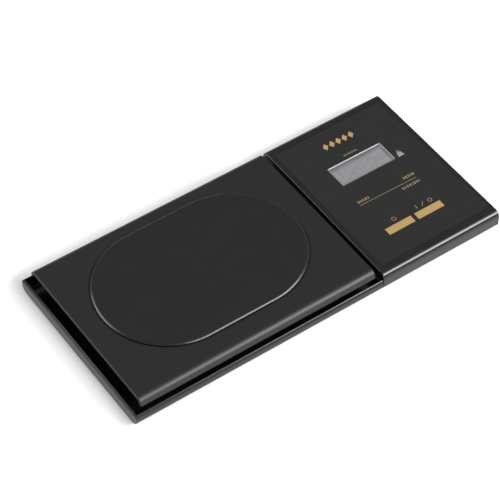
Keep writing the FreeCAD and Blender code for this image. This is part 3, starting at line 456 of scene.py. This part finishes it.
def ring(x, y, radius, width, sides=28):
    """A circle as strokes."""
    strokes = []
    for step in range(sides):
        a, b = (math.tau * k / sides for k in (step, step + 1))
        ends = [x + radius * math.cos(a), y + radius * math.sin(a),
                x + radius * math.cos(b), y + radius * math.sin(b)]
        strokes.append(bar(*ends, width))
    return strokes


def ticks(x0, x1, y, height, widths, gap):
    """A row of short upright dashes between x0 and x1, with their widths taken in turn."""
    shapes, x, turn = [], x0, 0
    while x + widths[turn % len(widths)] <= x1:
        wide = widths[turn % len(widths)]
        shapes.append([(x, y - height / 2), (x + wide, y - height / 2), (x + wide, y + height / 2),
                       (x, y + height / 2)])
        x += wide + gap
        turn += 1
    return shapes


def print_shapes(name, outlines, material, base):
    """Flat outlines, in millimetres, as one thin raised piece on the surface at height base."""
    mesh = bmesh.new()
    for outline in outlines:
        under = [mesh.verts.new((x * MM, y * MM, base)) for x, y in outline]
        top = [mesh.verts.new((x * MM, y * MM, base + PRINT_THICK)) for x, y in outline]
        mesh.faces.new(top)
        mesh.faces.new(under)
        bridge(mesh, under, top)
    bmesh.ops.recalc_face_normals(mesh, faces=mesh.faces)
    return put(name, mesh, material, "root")


def panel_prints():
    """The gold and pale marks, placed from the display window and the two key bars."""
    mid_x, left, right = (v / MM for v in (WINDOW_MID.x, WINDOW_LOW.x, WINDOW_HIGH.x))
    far, near = WINDOW_HIGH.y / MM, WINDOW_LOW.y / MM
    off, tare = ([v / MM for v in sum(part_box(key), Vector()) / 2] for key in ("off_key", "on_tare_key"))

    emblem_y, pitch = far + 9.0, 2.75
    emblem = [lozenge(mid_x + pitch * k, emblem_y, 2.3, 3.2, 0.25) for k in (-2, -1, 0, 1, 2)]
    print_shapes("panel_emblem", emblem, "gold", PANEL_TOP)

    # A caption over the window, then a ruled line with two rows of dashes above it and one below.
    caption_y, line_y = far + 1.9, near - 10.8
    small = ticks(mid_x - 2.7, mid_x + 2.9, caption_y, 0.7, (0.55, 0.4, 0.5), 0.34)
    small.append(bar(left - 0.6, line_y, right + 0.5, line_y - 0.4, 0.22))
    small += ticks(left - 0.5, left + 4.2, line_y + 1.5, 1.1, (0.7, 0.5, 0.6), 0.4)
    small += ticks(right - 3.7, right + 1.6, line_y + 1.6, 1.2, (0.5, 0.7, 0.6), 0.4)
    small += ticks(right - 6.8, right + 0.8, line_y - 2.2, 1.1, (0.6, 0.35, 0.7), 0.45)
    # A ring over one key, and a stroke, a slash and a ring over the other.
    small += ring(off[0], off[1] + 3.6, 0.75, 0.3)
    small.append(bar(tare[0] - 3.0, tare[1] + 2.7, tare[0] - 3.0, tare[1] + 4.3, 0.34))
    small.append(bar(tare[0] - 1.0, tare[1] + 2.6, tare[0] + 0.4, tare[1] + 4.4, 0.28))
    small += ring(tare[0] + 2.9, tare[1] + 3.5, 0.75, 0.3)
    print_shapes("panel_small_marks", small, "small_gold", PANEL_TOP)

    # A small weight with a ring on top, beside the window.
    x, y = right + 2.7, near + 1.2
    weight = [[(x - 1.3, y - 1.3), (x + 1.3, y - 1.3), (x + 0.8, y + 0.7), (x - 0.8, y + 0.7)]]
    weight += ring(x, y + 1.15, 0.42, 0.26)
    print_shapes("panel_weight_mark", weight, "pale", PANEL_TOP)


def segments():
    """Four faint seven-segment digits and a point on the display's face."""
    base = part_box("lcd_module")[1].z
    height, wide, stroke, pitch, lean, gap, digits = 5.6, 3.0, 0.62, 4.7, 0.10, 0.45, 4
    mid_x, mid_y = WINDOW_MID.x / MM + 0.4, WINDOW_MID.y / MM - 0.3
    shapes = []
    for digit in range(digits):
        x0 = mid_x + (digit - digits / 2) * pitch
        for row in range(3):
            y = mid_y + (row - 1) * height / 2
            shift = lean * (y - mid_y)
            shapes.append(bar(x0 + shift + gap, y, x0 + shift + wide - gap, y, stroke))
        for column in (0, wide):
            for half in (-1, 0):
                ends = []
                for y in (mid_y + half * height / 2 + gap, mid_y + (half + 1) * height / 2 - gap):
                    ends += [x0 + column + lean * (y - mid_y), y]
                shapes.append(bar(*ends, stroke))
    point_x, point_y, point_size = mid_x + pitch - 0.85, mid_y - height / 2, 0.6
    shapes.append(bar(point_x - point_size / 2, point_y, point_x + point_size / 2, point_y, point_size))
    print_shapes("display_segments", shapes, "segment", base)


def rounded(low, high, radius, z, mesh, steps=5):
    """A ring of vertices round a rectangle with round corners."""
    ring = []
    right, left, far, near = high.x - radius, low.x + radius, high.y - radius, low.y + radius
    for number, (x, y) in enumerate(((right, far), (left, far), (left, near), (right, near))):
        for step in range(steps + 1):
            turn = math.pi / 2 * (number + step / steps)
            spot = (x + radius * math.cos(turn), y + radius * math.sin(turn), z)
            ring.append(mesh.verts.new(spot))
    return ring


def window():
    """The clear pane and the bevelled lip round it, standing for the window in the film."""
    low, high = WINDOW_LOW, WINDOW_HIGH
    lip, drop, flat_share = 0.42 * MM, 0.25 * MM, 0.35
    pane_share, pane_drop_share = 1.04, 0.8
    outer, middle, inner, pane_corner = 0.35 * MM, 0.5 * MM, 0.7 * MM, 0.68 * MM
    edge = Vector((lip, lip, 0))
    flat = edge * flat_share
    mesh = bmesh.new()
    rings = [rounded(low, high, outer, low.z, mesh), rounded(low, high, outer, high.z, mesh),
             rounded(low + flat, high - flat, middle, high.z, mesh),
             rounded(low + edge, high - edge, inner, high.z - drop, mesh),
             rounded(low + edge, high - edge, inner, low.z, mesh)]
    for one, two in zip(rings, rings[1:] + rings[:1]):
        bridge(mesh, one, two)
    bmesh.ops.recalc_face_normals(mesh, faces=mesh.faces)
    surround = put("window_lip", mesh, "lip", "root")
    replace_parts(surround, "lcd_window")

    mesh = bmesh.new()
    inset, top = edge * pane_share, high.z - drop * pane_drop_share
    rings = [rounded(low + inset, high - inset, pane_corner, z, mesh) for z in (low.z, top)]
    bridge(mesh, *rings)
    mesh.faces.new(rings[1])
    mesh.faces.new(rings[0])
    bmesh.ops.recalc_face_normals(mesh, faces=mesh.faces)
    pane = put("window_pane", mesh, "window", "root")
    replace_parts(pane, "lcd_window")


panel_prints()
segments()
window()

# The CAD nodes that show as they are, and the material that each takes.
FINISHES = {
    "front_panel_overlay": "film",
    "lcd_module": "display",
    "lcd_holder": "holder",
    "lcd_zebra_connector": "pink",
    "main_circuit_board": "board",
    "controller_chip": "chip",
    "board_components": "aluminium",
    "board_screws": "steel",
    "housing_screws": "steel",
    "off_key_dome": "steel",
    "on_tare_key_dome": "steel",
    "load_cell": "aluminium",
    "strain_gauges": "white",
    "load_cell_leads": "leads",
    "load_cell_screws": "steel",
    "overload_stops": "steel",
    "battery_holder": "holder",
    "coin_cell": "nickel",
    "battery_negative_contact": "nickel",
    "battery_positive_contact": "nickel",
    "rubber_feet": "rubber",
    "platform_cushions": "rubber",
    "platform_carrier": "aluminium",
    "carrier_screws": "steel",
    "off_key": "gold",
    "on_tare_key": "gold",
    "battery_cover": "cover",
}
for node, finish in FINISHES.items():
    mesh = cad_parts[node].data
    mesh.materials.clear()
    mesh.materials.append(MATERIALS[finish])


# --- floor, light and camera -----------------------------------------------------------------


def floor():
    """A plain pale floor under the feet."""
    made = bmesh.new()
    bmesh.ops.create_grid(made, x_segments=1, y_segments=1, size=FLOOR_SIZE)
    data = bpy.data.meshes.new("floor")
    made.to_mesh(data)
    made.free()
    piece = bpy.data.objects.new("floor", data)
    piece.location.z = CAD_BOX[0].z
    bpy.context.scene.collection.objects.link(piece)
    paper = Shader("paper")
    paper.tint(paper.noise(0.2, 2), (0.86, 0.86, 0.86), (0.88, 0.88, 0.88))
    paper.rough(paper.noise(0.1, 2), 0.8, 0.9)
    data.materials.append(paper.material)


def softbox(name, direction, distance, size, power):
    """A rectangular area light, in watts, that looks at the object from a direction."""
    data = bpy.data.lights.new(name, "AREA")
    data.shape = "RECTANGLE"
    data.size, data.size_y = size
    data.energy = power
    lamp = bpy.data.objects.new(name, data)
    toward = Vector(direction).normalized()
    lamp.location = toward * distance
    lamp.rotation_euler = toward.to_track_quat("Z", "Y").to_euler()
    bpy.context.scene.collection.objects.link(lamp)


def sky(level):
    """Even white light from all round."""
    world = bpy.data.worlds.new("studio")
    world.use_nodes = True
    world.node_tree.nodes["Background"].inputs["Color"].default_value = (1, 1, 1, 1)
    world.node_tree.nodes["Background"].inputs["Strength"].default_value = level
    bpy.context.scene.world = world


def camera():
    """A camera that looks at AIM from the direction of AZIMUTH and ELEVATION."""
    data = bpy.data.cameras.new("camera")
    data.lens = LENS
    data.sensor_width = SENSOR
    turn, rise = math.radians(AZIMUTH), math.radians(ELEVATION)
    back = Vector((math.sin(turn) * math.cos(rise), -math.cos(turn) * math.cos(rise), math.sin(rise)))
    made = bpy.data.objects.new("camera", data)
    made.location = Vector(AIM) + back * DISTANCE
    made.rotation_euler = back.to_track_quat("Z", "Y").to_euler()
    bpy.context.scene.collection.objects.link(made)
    bpy.context.scene.camera = made


floor()
sky(0.36)
softbox("key", (0.66, -0.50, 0.62), 1.4, (1.0, 0.8), 9.0)
softbox("near_strip", (0.36, -0.69, 0.60), 1.3, (1.5, 0.36), 26.0)
softbox("far_left", (-0.60, 0.58, 0.56), 1.4, (1.0, 0.7), 12.0)
camera()
bpy.context.scene.view_settings.view_transform = "Standard"
